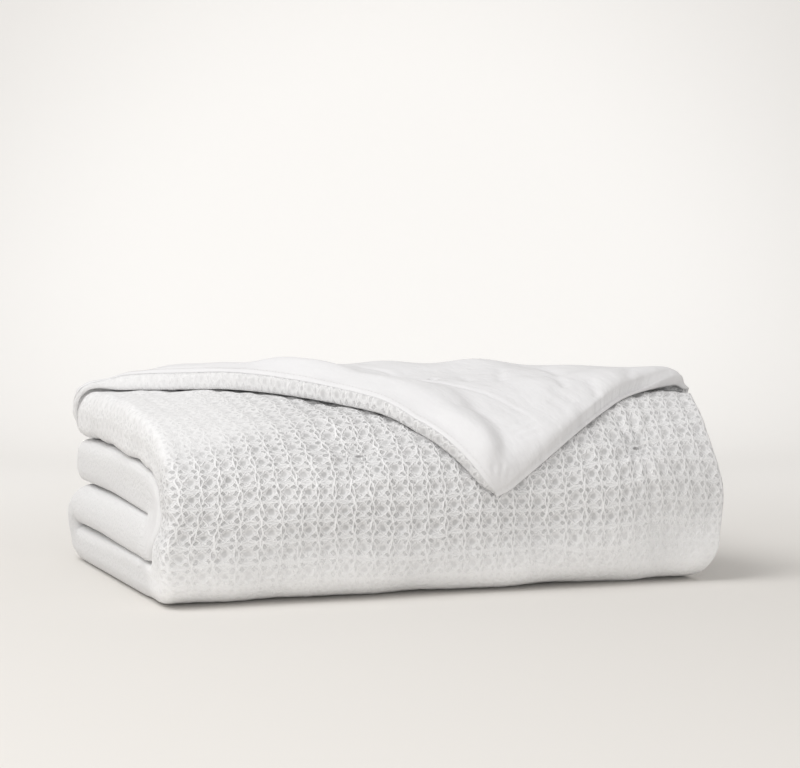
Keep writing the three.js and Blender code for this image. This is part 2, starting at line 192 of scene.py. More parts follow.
# Fixed values of the two cloths and the thread; a noise has a scale and a detail, a bump a height and a share
WEAVE_FIXED = dict(
    # Points across a waffle cell, half width of its bowl in half cells, share and waves of its unevenness
    samples=8, hole_wide=0.55, uneven=150.0, uneven_waves=1.7,
    # Place down where the weave's fading changes from the top to the front, and over which length
    front_begins=0.33, front_soft=0.09,
    # Places across between which the weave fades, how much further in front, and the share left
    fade_start=0.40, fade_end=0.53, fade_front=0.15, fade_least=0.28,
    # Places down between which it fades at the foot, how much sooner at the right, and the share left
    foot_start=0.468, foot_end=0.540, foot_right=0.022, foot_least=0.15,
    # Share left at the right end, and over which length
    right_least=0.7, right_soft=0.25,
    # Share lost on the sewn edge, share of that near the tip, up to which place, and the rim's width
    rim_fade=0.8, rim_least=0.35, rim_from_tip=(0.1, 0.4), rim_at=(-0.004, 0.002),
    # Strands in half cells: distance apart, half width, height; slanted ones and the bridge by their middle
    upright=(0.24, 0.13, 0.95), level=(0.17, 0.11, 0.5), forked=(0.0, 0.30, 0.11, 0.85),
    rims=(1.20, 0.40, 0.12, 0.9), bridge_at=1.20, bridge=(0.07, 0.4), fork_ends=(0.45, 0.75),
    # How a strand falls off from its middle, and a pit, in shares of its width
    strand_falls=(0.35, 1.25), pit_falls=0.4,
    # Pits in half cells: place, width, depth; and the share of them in the relief and in the painted shade
    pits=((0.0, 0.0, 0.42, 1.0), (0.63, 0.60, 0.34, 0.9), (1.0, 0.0, 0.26, 0.8)),
    pit_relief=0.4, pit_shade=0.8,
    # Wear of the strands and patches of the pits: noise, span and least; and where threads wander
    worn=(110.0, 2.0), worn_span=(1.1, 0.35), patchy=(70.0, 2.0), patchy_span=(1.6, 0.1), wander=(150.0, 1.0),
    # Bumps: strands, lint, and the nap where the weave does not show
    strand_bump=0.7, lint=(620.0, 3.0), lint_bump=(0.0006, 0.5), nap=(240.0, 4.0), nap_bump=(0.0030, 0.7),
    # Noise of the fuzz, and of the clouds with their share
    fuzzy=(380.0, 2.0), cloudy=(11.0, 3.0), clouds=0.25,
    # Colour of the painted shade in a tack's slit
    slit_dark=(0.12, 0.115, 0.115),
    # Plain cloth: how its wide wrinkles are drawn out, those wrinkles, and small ones
    drawn_out=(0.4, 1.0, 1.0), wrinkled=(30.0, 4.0), wrinkle_bump=(0.0070, 0.6),
    rumpled=(60.0, 4.0), rumple_bump=(0.0020, 0.5),
    # Its yarns, and its mottling with the least light
    yarn_pitch=0.0006, yarn_bump=(0.0001, 0.4), mottled=(18.0, 4.0), mottled_least=0.91,
    # Thread: its grain and least light
    grain=(1500.0, 2.0), grain_bump=(0.0003, 0.5), grain_least=0.92,
)

# Stitches: bars of a tack and the row along the seam, in metres
STITCH = SimpleNamespace(
    # Bars: places down, half length, points along and radius
    bars=np.array([-0.0009, 0.0, 0.0009]), bar_half=0.0055, bar_points=9, bar_radius=0.0005,
    # Row: pitch, length of a stitch, distance from the edge, points along, radius, begin and end
    pitch=0.0042, long=0.0030, inset=0.0022, points=5, radius=0.0003, begin=0.012, end_short=0.05,
    # Rise of a thread, the sides of its ring, a direction that no thread follows, taper and its least
    rise=0.0004, sides=7, aside=np.array([0.31, 0.22, 0.93]), taper=4, least=0.02,
)

# Sockets of the Mix node for colours: its share, its two colours and its result
MIX_COLOUR_INPUTS = (0, 6, 7)
MIX_COLOUR_OUTPUT = 2

# Finishes of the cloth and the floor
MATT_COTTON = {"Roughness": 0.95, "Specular IOR Level": 0.1, "Sheen Weight": 0.12, "Sheen Roughness": 0.6}
MATT_FLOOR = {"Roughness": 0.9, "Specular IOR Level": 0.1}

# Lamps: size and place, and the place that they point at
KEY_LAMP = ((1.8, 1.8), (-1.4, -0.4, 2.2))
FILL_LAMP = ((2.2, 0.7), (-0.9, -2.4, 0.45))
LAMPS_AIM = (0.0, 0.0, 0.1)

# Floor: half its size, the straight run, the bend to the wall with its points, the wall's top
FLOOR_HALF, FLOOR_RUN, FLOOR_BEND, BEND_POINTS, WALL_TOP = 6.0, 1.6, 1.4, 25, 5.0

# Glow on the backdrop: depth and height of its middle, its reach, the depths between which it begins
GLOW_AT, GLOW_REACH, GLOW_BEGINS = (2.5, 0.4), (0.5, 1.5), (-0.2, 1.2)
SENSOR_WIDTH = 36.0


def length(name, text, value):
    """A size in metres."""
    return FloatProperty(name=name, description=text, default=value, unit="LENGTH", precision=4)


def share(name, text, value):
    """A plain number."""
    return FloatProperty(name=name, description=text, default=value, precision=3)


def angle(name, text, degrees):
    """An angle, given in degrees."""
    return FloatProperty(name=name, description=text, default=math.radians(degrees), subtype="ANGLE")


def colour(name, text, value):
    """A linear colour."""
    return FloatVectorProperty(name=name, description=text, default=value, size=3, subtype="COLOR")


class FoldSettings(bpy.types.PropertyGroup):
    """Sizes of the folded stack and its turned corner."""

    folded_length: length("Folded length", "Left rolls to right edges", 0.592)
    folded_depth: length("Folded depth", "Front fold to back", 0.438)
    stack_height: length("Stack height", "All layers before they settle", 0.190)
    layer_gap: length("Layer gap", "Space between layers", 0.001)
    back_cloth: length("Back cloth", "Thickness of the plain back", 0.0016)
    top_short: length("Top edge short", "Back edge of the top strip before the back fold", 0.015)
    second_short: length("Second edge short", "The same for the second strip", 0.022)
    inner_short: length("Inner edge short", "Right edge of the second layer before the right fold", 0.008)
    crease_start: length("Crease start", "Where the corner's crease leaves the back edge", 0.592)
    crease_angle: angle("Crease angle", "Crease against the back edge", 28)
    crease_radius: length("Crease radius", "Bend of the turned corner", 0.0080)
    corner_loft: share("Corner loft", "How much fuller the turned corner is", 1.75)
    slope_drop: length("Slope drop", "Fall of the top towards the front", 0.031)
    crown: length("Crown", "Rise of the top at mid length", 0.0065)
    right_rise: length("Right rise", "Rise of the top towards the right", 0.0075)
    front_wave: length("Front wave", "Waves of the front", 0.0025)
    top_wave: length("Top wave", "Waves of the top", -0.0010)
    wave_length: length("Wave length", "Length of those waves", 0.290)


class DetailSettings(bpy.types.PropertyGroup):
    """Sizes of the sewn edges, tacks and swells."""

    roll_length: length("Roll length", "Plain cloth carried round the corner's right edge", 0.012)
    roll_turn: angle("Roll turn", "How far that cloth turns round the edge", 150)
    lap_length: length("Lap length", "Plain cloth carried over the seam of the left edge", 0.0036)
    edge_roll: length("Edge roll", "Fullness along the corner's left edge", 0.0025)
    left_roll: length("Left roll", "Height of the full roll along the corner's left edge", 0.0080)
    corner_lumps: share("Corner swells", "Share of the filling's swells on the corner", 1.3)
    corner_crown: length("Corner crown", "Fullness of the corner by its crease", 0.0045)
    tack_slit: length("Tack slit", "Depth of the slit at a tack", 0.0085)
    tack_bowl: length("Tack bowl", "Depth of the wide hollow round a tack", 0.0060)
    tack_gather: length("Gather", "Height of the folds that run to a tack", 0.0016)
    tack_belly: length("Belly", "Height of the swell below a tack", 0.0045)


class WeaveSettings(bpy.types.PropertyGroup):
    """Sizes and colours of the two cloths."""

    pitch_across: length("Cell across", "Waffle cell across", 0.0188)
    pitch_down: length("Cell down", "Waffle cell down", 0.0196)
    hole_depth: length("Hole depth", "Depth of the bowl in a cell", 0.0022)
    ridge: length("Ridge", "How far the cloth rises to the upright strands", 0.0005)
    strand: length("Strand", "How far a strand stands out", 0.0027)
    # Painted shade: the waffle colour between the strands and in the pits, as shares of its light
    between: share("Between strands", "Share of light back from between the strands", 0.80)
    pit: share("In the pits", "Share of light back from the pits", 0.42)
    warp: length("Thread warp", "How far threads wander", 0.0042)
    # Least share from painted shade to full colour off the weave; it rises at the foot as painted light
    bare: share("Bare light", "Share of the strands' light where the weave does not show", 0.25)
    # Painted shade on the rolls under the first one
    roll_shade: share("Roll shade", "Share of light that the rolls under the first one lose", 0.14)
    fuzz: share("Fuzz", "Fine shade changes where the weave does not show", 0.3)
    softness: share("Softness", "Light that spreads in the cloth where the weave does not show", 0.9)
    soft_reach: length("Soft reach", "How far that light spreads", 0.012)
    waffle: colour("Waffle", "Colour of the waffle cloth", (0.88, 0.875, 0.875))
    # Painted light: a brighter waffle colour where the weave does not show, most at the foot
    painted_foot_light: colour("Pressed", "Its colour where the weave is pressed flat", (0.95, 0.945, 0.945))
    plain: colour("Plain", "Colour of the plain cloth", (0.77, 0.765, 0.77))
    thread: colour("Thread", "Colour of the stitches", (0.78, 0.77, 0.765))


class StageSettings(bpy.types.PropertyGroup):
    """Camera, light and floor."""

    camera_x: length("Camera x", "Camera place", -0.7988)
    camera_y: length("Camera y", "Camera place", -2.1806)
    camera_z: length("Camera z", "Camera place", 0.318)
    camera_turn: angle("Camera turn", "Heading of the camera from the depth axis", 20.6)
    camera_tilt: angle("Camera tilt", "How far it looks down", 2.89)
    lens: share("Lens", "Focal length in millimetres", 97.2)
    floor: colour("Floor", "Colour of the floor", (0.75, 0.728, 0.695))
    sky: colour("Sky", "Colour of the soft light all round", (1.0, 0.985, 0.975))
    sky_strength: share("Sky strength", "Strength of the soft light all round", 0.54)
    key_power: share("Key power", "Power of the large lamp in watts", 36.0)
    fill_power: share("Fill power", "Power of the lamp in front in watts", 17.5)
    glow: colour("Glow", "Colour of the light on the backdrop", (0.37, 0.375, 0.38))
    glow_least: share("Least glow", "Share of that light far from its middle", 0.54)


def smooth(value):
    """Nought below nought, one above one, and a smooth step between."""
    part = np.clip(value, 0.0, 1.0)
    return part * part * (3.0 - 2.0 * part)


def bell(value):
    """A bell: one at nought, falling away on both sides."""
    return np.exp(-value * value)


def gathered(fixed, *groups):
    """Fixed values and the values of some settings, together."""
    sizes = SimpleNamespace(**fixed)
    for group in groups:
        for name in group.__annotations__:
            setattr(sizes, name, getattr(group, name))
    return sizes


def weave_sizes(context):
    """The sizes and colours of the cloths."""
    return gathered(WEAVE_FIXED, context.scene.comforter_weave)


def fold_sizes(context):
    """The stack's sizes with those that follow from them, and the two fold paths.

    A path row holds the cloth's length in that run, the distance the path covers and the angle it turns.
    """
    scene = context.scene
    f = gathered({**FOLD_FIXED, **DETAIL_FIXED}, scene.comforter_fold, scene.comforter_detail)
    f.strip = f.stack_height / f.layers
    f.layer = f.strip / f.layers
    f.half_layer = (f.layer - f.layer_gap) / 2
    f.half_bend = f.crease_radius * math.pi / 2
    f.tip_past = f.crease_start * math.sin(f.crease_angle)
    f.crease_end = f.crease_start * math.tan(f.crease_angle)
    outer = 1.5 * f.layer

    def turn(radius, measured, sense):
        """Half a turn, with the cloth's length taken at the measured radius."""
        return (math.pi * measured, math.pi * radius, sense * math.pi)

    def run(distance):
        """A straight run."""
        return (distance, distance, 0.0)

    def path(folded, thick, first_short, last_short, wrap):
        """The top layer, round to the lowest one, and up between them, back and forth."""
        return [
            run(folded - 2 * thick - first_short),
            turn(1.5 * thick, 1.5 * thick + wrap, 1),
            run(folded - 3 * thick),
            turn(0.5 * thick, 0.5 * thick + wrap, 1),
            run(folded - 3 * thick),
            turn(0.5 * thick, 0.5 * thick - wrap, -1),
            run(folded - 2 * thick - last_short),
        ]

    f.across_path = path(f.folded_length, f.layer, 0.0, f.inner_short, 0.0)
    f.down_path = path(f.folded_depth, f.strip, f.top_short, f.second_short, outer)
    f.across_ends, f.down_ends = (np.concatenate([[0.0], np.cumsum([row[0] for row in rows])])
                                  for rows in (f.across_path, f.down_path))
    f.cloth_across = f.across_ends[-1]
    f.cloth_down = f.down_ends[-1]
    return f


def walk(path, start, level, distance):
    """Place and heading after a distance along a fold path.

    Each run goes straight on, or turns about a point at the run's radius; runs not reached add nothing.
    """
    along = np.full(distance.shape, start)
    up = np.full(distance.shape, level)
    heading = np.full(distance.shape, math.pi)
    left = distance.copy()
    for number, (cloth, travel, turn) in enumerate(path):
        part = left / cloth
        if number > 0:
            part = np.maximum(part, 0.0)
        if number < len(path) - 1:
            part = np.minimum(part, 1.0)
        if turn == 0.0:
            along += np.cos(heading) * travel * part
            up += np.sin(heading) * travel * part
        else:
            radius = travel / turn
            after = heading + turn * part
            along += radius * (np.sin(after) - np.sin(heading))
            up -= radius * (np.cos(after) - np.cos(heading))
            heading = after
        left = left - cloth
    return along, up, heading


def shift_at(rows, height):
    """Smooth value of a table of heights and shifts."""
    total = np.full(height.shape, rows[0, 1])
    for (low, before), (high, after) in zip(rows[:-1], rows[1:]):
        total += (after - before) * smooth((height - low) / (high - low))
    return total


def squaring(first, second, power):
    """Growth that draws a circle about nought out to a squared circle."""
    radius = np.maximum(np.hypot(first, second), TINY)
    return ((np.abs(first) / radius) ** power + (np.abs(second) / radius) ** power) ** (-1.0 / power)


def settle(f, x, y, z):
    """The stack as it settles: its front fold is drawn to a squarer curve and its outer wrap thins there,
    lower layers are flatter, the ends move in and out with height, and the top falls towards the front
    and has a low crown and waves. The crease's right end reaches out and rises.
    """
    centre = 2 * f.strip
    reach = centre - y
    rise = z - centre
    radius = np.maximum(np.hypot(reach, rise), TINY)
    power = np.where(rise > 0, f.shoulder_power, f.foot_power)
    squeeze = 1 + f.wrap_squeeze * np.maximum(1 - radius / centre, 0.0) * (reach / radius) ** 2
    grow = np.where(reach > 0, squeeze * squaring(reach, rise, power), 1.0)
    depth = centre - reach * grow
    height = centre + rise * grow
    height = height * (f.foot_squash + (1 - f.foot_squash) * height / f.stack_height)
    left = smooth(1 - x / f.end_fade)
    right = smooth(1 - (f.folded_length - x) / f.end_fade)
    level = height / f.stack_height
    crease_end = bell((depth - f.folded_depth + f.top_short + f.crease_end) / f.pinch_deep)
    crease_end = crease_end * np.minimum(level, 1.0) ** f.pinch_power
    out_x = x + shift_at(LEFT_ROLLS, height) * left
    out_x += (shift_at(RIGHT_ENDS, height) + f.pinch_reach * crease_end) * right
    place = np.clip(x / f.folded_length, 0.0, 1.0)
    wave = np.sin(2 * math.pi * x / f.wave_length + f.wave_start)
    bulge = np.sin(math.pi * np.clip(level, 0.0, 1.0)) * smooth(reach / centre)
    crown = f.crown * np.sin(math.pi * place) + f.right_rise * smooth(place)
    drop = f.slope_drop * (1 - f.slope_right * smooth(2 * place - 1))
    fall = drop * (1 - np.clip((depth - f.slope_start) / f.slope_length, 0.0, 1.0)) ** f.slope_power
    rise = f.pinch_rise * crease_end * bell((f.folded_length - x) / f.pinch_long)
    out_z = height + (crown + f.top_wave * wave - fall) * level * level + rise
    return out_x, depth + f.front_wave * wave * bulge, out_z


def folded_point(f, across, down, off):
    """A point of the folded stack: the layer's fold first, squared at its left end, most by the front fold
    and where it rests, then the fold of the four layers together. The floor keeps it at nought or above.
    """
    along, up, heading = walk(f.across_path, f.folded_length, 3.5 * f.layer, across)
    x = along + off * np.sin(heading)
    lift = up - off * np.cos(heading) - 2 * f.layer
    deep, high, facing = walk(f.down_path, f.folded_depth - f.top_short, 3.5 * f.strip, down)
    reach = 2 * f.layer - x
    begin, front, back = f.down_ends[1:4]
    lowest = smooth((2 * down - begin - front) / (front - begin)) * (1 - smooth((down - back) / f.strip))
    power = f.end_power + (f.front_power - f.end_power) * smooth((f.front_from - deep) / f.front_over)
    power = power + (f.rest_power - power) * np.where(lift > 0, lowest, 0.0)
    grow = np.where(reach > 0, squaring(reach, lift, power), 1.0)
    x = 2 * f.layer - reach * grow
    lift = lift * grow * (1 + f.end_close * smooth(reach / (2 * f.layer)))
    y = deep + lift * np.sin(facing)
    z = high - lift * np.cos(facing) - f.layer_gap / 2
    x, y, z = settle(f, x, y, z)
    return np.stack([x - f.origin_x, y - f.origin_y, np.maximum(z, 0.0)], axis=-1)


def past_crease(f, across, down):
    """Distance past the crease, towards the turned corner."""
    return (f.crease_start - across) * math.sin(f.crease_angle) - down * math.cos(f.crease_angle)


def lying_share(f, across, down, over):
    """Nought up to the end of the crease's bend, and one a distance past it, on the turned corner."""
    return smooth((past_crease(f, across, down) - f.half_bend) / over)


def turned_share(f, across, down):
    """Nought before the crease, one past its bend."""
    return smooth((past_crease(f, across, down) + f.half_bend) / (2 * f.half_bend))


def hook_share(f, across, down):
    """One where the crease leaves the back edge, falling away round that place."""
    return bell(np.hypot(across - f.crease_start, down) / f.hook_wide)


def pinch_share(f, across, down):
    """One where the crease leaves the right edge, falling away round that place."""
    return bell(np.hypot(across, down - f.crease_end) / f.pinch_wide)


def cloth_point(f, across, down, off):
    """A point of the cloth: past the crease it turns over a small bend, tightest at its two ends, and
    lies back on the stack. Its tip is drawn in and its right edge bows in.
    """
    blunt = f.tip_blunt * bell(np.hypot(across, down) / f.tip_blunt_wide)
    bow = np.sin(math.pi * np.clip(down / f.crease_end, 0.0, 1.0)) * (1 - smooth(across / f.side_bow_wide))
    across, down = across + blunt + f.side_bow * bow, down + blunt
    past = past_crease(f, across, down)
    tighter = f.hook_draw * hook_share(f, across, down) + f.pinch_draw * pinch_share(f, across, down)
    radius = f.crease_radius * (1 - tighter)
    half_bend = radius * math.pi / 2
    turn = math.pi * np.clip((past + half_bend) / (2 * half_bend), 0.0, 1.0)
    beyond = np.maximum(past - half_bend, 0.0)
    turned = radius * np.sin(turn) - half_bend - beyond - off * np.sin(turn)
    bent = turn > 0
    moved = np.where(bent, past - turned, 0.0)
    lift = np.where(bent, radius * (1 - np.cos(turn)) + off * np.cos(turn), off)
    drawn = np.maximum(past, 0.0) / f.tip_past
    new_across = across + moved * math.sin(f.crease_angle) + f.tip_across * drawn
    new_down = down + moved * math.cos(f.crease_angle) + f.tip_down * drawn
    return folded_point(f, new_across, new_down, lift)


def edge_distance(f, across, down):
    """Distance from the nearest edge of the cloth."""
    return np.minimum.reduce([across, f.cloth_across - across, down, f.cloth_down - down])


def half_thickness(f, across, down):
    """Half the thickness of the filled cloth: thinner at sewn edges, fuller on the turned corner, and
    thinner again at the two ends of the crease.
    """
    inward = 1 - np.clip(edge_distance(f, across, down) / f.edge_round, 0.0, 1.0)
    rounded = f.edge_least + (1 - f.edge_least) * np.sqrt(1 - inward * inward)
    loft = 1 + (f.corner_loft - 1) * lying_share(f, across, down, f.loft_length)
    hook = 1 - f.hook_thin * hook_share(f, across, down) * turned_share(f, across, down)
    pinch = 1 - f.pinch_thin * pinch_share(f, across, down)
    return f.half_layer * rounded * loft * hook * pinch


def side_share(f, across, down):
    """One at the right edge, falling to nought by a quarter of a squared ellipse, wider and rounder at
    the tip.
    """
    tip = bell(down / f.side_tip_long)
    inward = 1 - np.clip(across / (f.side_round * (1 + f.side_tip * tip)), 0.0, 1.0)
    power = f.side_power + (f.side_tip_power - f.side_power) * tip
    return 1 - (1 - inward ** power) ** (1 / power)


def edge_out(f, across, down):
    """How far a sewn edge bulges, less at the right edge of the turned corner."""
    near = 1 - np.clip(across / f.side_round, 0.0, 1.0)
    return f.edge_bulge * (1 - f.side_thin * turned_share(f, across, down) * near)


def tuck(f, across, down):
    """How far the filling gives way to the plain cloth that rolls round the corner's right edge."""
    near = 1 - smooth(across / f.roll_tuck)
    return (f.back_cloth + f.roll_clear) * turned_share(f, across, down) * near


def phase(row, across, down):
    """Angle of a wave of the flat cloth: waves in a metre across and down, and its start."""
    return 2 * math.pi * (row[0] * across + row[1] * down) + row[2]


def lumps(across, down):
    """Soft swells of the filling: a sum of long waves."""
    return sum(row[3] * np.sin(phase(row, across, down)) for row in LUMPS)


def bowed_line(across, down, line, bow):
    """Distance from a bowed line, and a share that fades to nought at its two ends."""
    from_across, from_down, to_across, to_down = line
    run_across, run_down = to_across - from_across, to_down - from_down
    long = math.hypot(run_across, run_down)
    along = ((across - from_across) * run_across + (down - from_down) * run_down) / long ** 2
    aside = ((across - from_across) * run_down - (down - from_down) * run_across) / long
    arch = 4 * np.clip(along, 0.0, 1.0) * (1 - np.clip(along, 0.0, 1.0))
    return aside - bow * arch, smooth(2 * arch)


def creases(across, down):
    """Creases of the plain cloth: a bell across each bowed line, fading to nought at its two ends."""
    total = np.zeros(across.shape)
    for *line, bow, width, height in CREASES:
        aside, shown = bowed_line(across, down, line, bow)
        total += height * bell(aside / width) * shown
    return total


def left_roll(f, across, down):
    """The full roll along the corner's left edge: it falls by a smooth step to the lines that end it."""
    total = f.left_roll * smooth(down / f.left_roll_rise)
    total *= 1 - smooth((across - f.left_roll_ends) / f.left_roll_sinks)
    for *line, bow, width in ROLL_LINES:
        total *= smooth(-bowed_line(across, down, line, bow)[0] / width)
    return total


def corner_swell(f, across, down):
    """How far the plain back stands off on the turned corner: full along its left edge and by its crease,
    with soft swells and creases.
    """
    on_corner = lying_share(f, across, down, f.loft_length) * (1 - pinch_share(f, across, down))
    roll = f.edge_roll * bell((down - f.edge_roll_at) / f.edge_roll_wide) + left_roll(f, across, down)
    edge = smooth(np.minimum(across, down) / f.crease_fade)
    away = np.hypot(across - f.corner_crown_across, down - f.corner_crown_down) / f.corner_crown_wide
    soft = f.corner_lumps * lumps(across, down) + f.corner_crown * bell(away)
    return on_corner * (roll + edge * (soft + creases(across, down)))


def back_off(f, across, down):
    """Outer side of the plain back: it rounds down to the right edge of the turned corner."""
    half = half_thickness(f, across, down)
    side = side_share(f, across, down)
    begun = lying_share(f, across, down, f.side_fade)
    return half * (2 * f.side_drop * side * begun - 1) - corner_swell(f, across, down) * (1 - side)


def tack_shape(f, across, down):
    """Height of the waffle face about its tacks: a short slit in a wide hollow, folds that run to it and
    a swell below it.
    """
    total = np.zeros(across.shape)
    for tack_across, tack_down in TACKS:
        aside, below = across - tack_across, down - tack_down
        away = np.hypot(aside, below)
        total -= f.tack_slit * bell(np.hypot(aside / f.tack_slit_long, below / f.tack_slit_wide))
        total -= f.tack_bowl * bell(away / f.tack_bowl_wide)
        spoke = np.cos(f.tack_gathers * np.arctan2(below, aside))
        ring = away / f.tack_bowl_wide
        total += f.tack_gather * spoke * ring * bell(ring) * 2
        belly = np.hypot(aside + f.tack_belly_aside, below - f.tack_belly_at)
        total += f.tack_belly * bell(belly / f.tack_belly_at)
    return total


def weave_place(f, across, down):
    """Where the weave lies: stretched round the left fold, drawn in at the tacks and a little uneven."""
    bend = f.across_ends[2] - f.across_ends[1]
    stretch = 2 * f.layer / (1.5 * f.layer) - 1
    woven_across = across + stretch * np.clip(across - f.across_ends[1], 0.0, bend)
    woven_down = down.copy()
    for tack_across, tack_down in TACKS:
        aside, below = across - tack_across, down - tack_down
        pull = f.tack_pull * bell(np.hypot(aside, below) / f.tack_bowl_wide)
        woven_across += aside * pull
        woven_down += below * pull
    for row in WEAVE_DRIFT:
        woven_across += row[3] * np.sin(phase(row, across, down))
        woven_down += row[3] * np.cos(phase(row, across, down))
    return np.stack([woven_across, woven_down], axis=-1)


def weave_shown(w, place):
    """Share of the weave that shows: less at the left end, first on the top, and less at the foot, first
    at the right end. The material has the same formula.
    """
    across, down = place.T
    front = smooth((down - w.front_begins) / w.front_soft) * (1 - smooth((down - w.foot_end) / w.front_soft))
    end = across - w.fade_front * front
    left = 1 - (1 - w.fade_least) * smooth((end - w.fade_start) / (w.fade_end - w.fade_start))
    near = 1 - smooth(across / w.right_soft)
    low = smooth((down + w.foot_right * near - w.foot_start) / (w.foot_end - w.foot_start))
    return left * (1 - (1 - w.right_least) * near) * (1 - (1 - w.foot_least) * low)


def waffle_relief(w, place):
    """Height of the waffle weave, nought on its upright ridges.

    Each cell is a bowl about its middle, and the cloth rises towards the upright strands at its sides.
    The strands themselves are in the material.
    """
    cells = place / (w.pitch_across, w.pitch_down)
    a, b = np.moveaxis(2 * (cells - np.floor(cells)) - 1, -1, 0)
    ridge = 0.5 - 0.5 * np.cos(math.pi * a)
    return w.ridge * (ridge - 1.0) - w.hole_depth * bell(np.hypot(a, b) / w.hole_wide)


def squared(turn, power):
    """Sine and cosine of a turn on a squared circle."""
    aside, upright = np.sin(turn), np.cos(turn)
    far = (np.abs(aside) ** power + np.abs(upright) ** power) ** (1 / power)
    return aside / far, upright / far


def zip_rows(first, first_places, second, second_places):
    """Triangles between two rows of points whose stops differ: both rows are walked in the order of
    their stops, and each step makes a triangle with the other row's latest point.
    """
    places = np.concatenate([first_places[1:], second_places[1:]])
    on_first = np.argsort(places, kind="stable") < len(first) - 1
    i = np.cumsum(on_first)
    j = np.cumsum(~on_first)
    before = second[j - ~on_first]
    forward = np.stack([first[i - on_first], first[i], before], axis=1)
    backward = np.stack([first[i], second[j], before], axis=1)
    return np.where(on_first[:, None], forward, backward)


def steps(begin, end, size):
    """Even stops from begin up to, and without, end."""
    count = max(int(math.ceil((end - begin) / size)), 1)
    return np.linspace(begin, end, count + 1)[:-1]


def stops_from(begin, *parts):
    """Even stops across the cloth: each part has its step and the place where it ends."""
    stops = []
    for size, end in parts:
        stops.append(steps(begin, end, size))
        begin = end
    return np.concatenate([*stops, [begin]])


def rows_from(begin, zones):
    """Rows down the cloth: each zone has its stops across, its step and the place where it ends."""
    rows = []
    for stops, size, end in zones:
        rows += [(down, stops) for down in steps(begin, end, size)]
        begin = end
    return [*rows, (begin, stops)]


class ClothSide:
    """Rows of stops across the cloth, one row for each stop down it, joined into faces."""

    def __init__(self, rows):
        self.places = np.concatenate([
            np.stack([stops, np.full(len(stops), down)], axis=1) for down, stops in rows
        ])
        sizes = np.array([len(stops) for _, stops in rows])
        starts = np.concatenate([[0], np.cumsum(sizes)[:-1]])
        points = [start + np.arange(size) for start, size in zip(starts, sizes)]
        self.quads = []
        self.triangles = []
        for (_, here), (_, there), a, b in zip(rows[:-1], rows[1:], points[:-1], points[1:]):
            if here is there:
                self.quads.append(np.stack([a[:-1], a[1:], b[1:], b[:-1]], axis=1))
            else:
                self.triangles.append(zip_rows(a, here, b, there))
        ends = starts + sizes - 1
        self.border = np.concatenate([points[0], ends[1:], points[-1][-2::-1], starts[-2:0:-1]])
        self.least = self.places.min(axis=0)
        self.most = self.places.max(axis=0)

    def border_places(self):
        """Places of the border's points."""
        return self.places[self.border]

    def outward(self):
        """Direction out of the cloth at each point of the border, level or upright, slanted at a corner."""
        places = self.border_places()
        return (places == self.most).astype(float) - (places == self.least)

    def laps(self):
        """Distance round the border for each of its points."""
        across, down = (self.border_places() - self.least).T
        wide, deep = self.most - self.least
        first = down == 0
        right = (across == wide) & ~first
        last = (down == deep) & ~right
        return np.select([first, right, last], [across, wide + down, 2 * wide + deep - across],
                         2 * wide + 2 * deep - down)


def ring_quads(outer, inner):
    """Quads of a closed band between two rings with the same number of points."""
    return np.stack([np.roll(outer, -1), outer, inner, np.roll(inner, -1)], axis=1)


def zip_rings(outer, outer_laps, inner, inner_laps, lap):
    """Triangles of a closed band between two rings whose points differ."""
    rows = [np.append(row, row[0] + extra) for row, extra in
            ((outer, 0), (outer_laps, lap), (inner, 0), (inner_laps, lap))]
    return zip_rows(*rows)[:, ::-1]


def mesh_object(name, points, quads, triangles, places):
    """A smooth mesh from arrays, with the flat cloth as its UV map in metres."""
    quads = np.concatenate(quads)
    triangles = np.concatenate(triangles) if triangles else np.empty((0, 3), dtype=int)
    corners = np.concatenate([quads.ravel(), triangles.ravel()]).astype(np.int32)
    sizes = np.concatenate([np.full(len(quads), 4), np.full(len(triangles), 3)])
    starts = np.concatenate([[0], np.cumsum(sizes)[:-1]]).astype(np.int32)
    mesh = bpy.data.meshes.new(name)
    mesh.vertices.add(len(points))
    mesh.vertices.foreach_set("co", points.astype(np.float32).ravel())
    mesh.loops.add(len(corners))
    mesh.loops.foreach_set("vertex_index", corners)
    mesh.polygons.add(len(sizes))
    mesh.polygons.foreach_set("loop_start", starts)
    mesh.polygons.foreach_set("use_smooth", np.ones(len(sizes), dtype=bool))
    layer = mesh.uv_layers.new(name="weave")
    layer.data.foreach_set("uv", places[corners].astype(np.float32).ravel())
    mesh.update(calc_edges=True)
    mesh.validate()
    return placed(name, mesh)


def placed(name, data, place=(0.0, 0.0, 0.0), ahead=None):
    """An object in the scene, at a place, that looks ahead."""
    made = bpy.data.objects.new(name, data)
    made.location = place
    if ahead is not None:
        made.rotation_euler = Vector(ahead).to_track_quat("-Z", "Y").to_euler()
    bpy.context.scene.collection.objects.link(made)
    return made


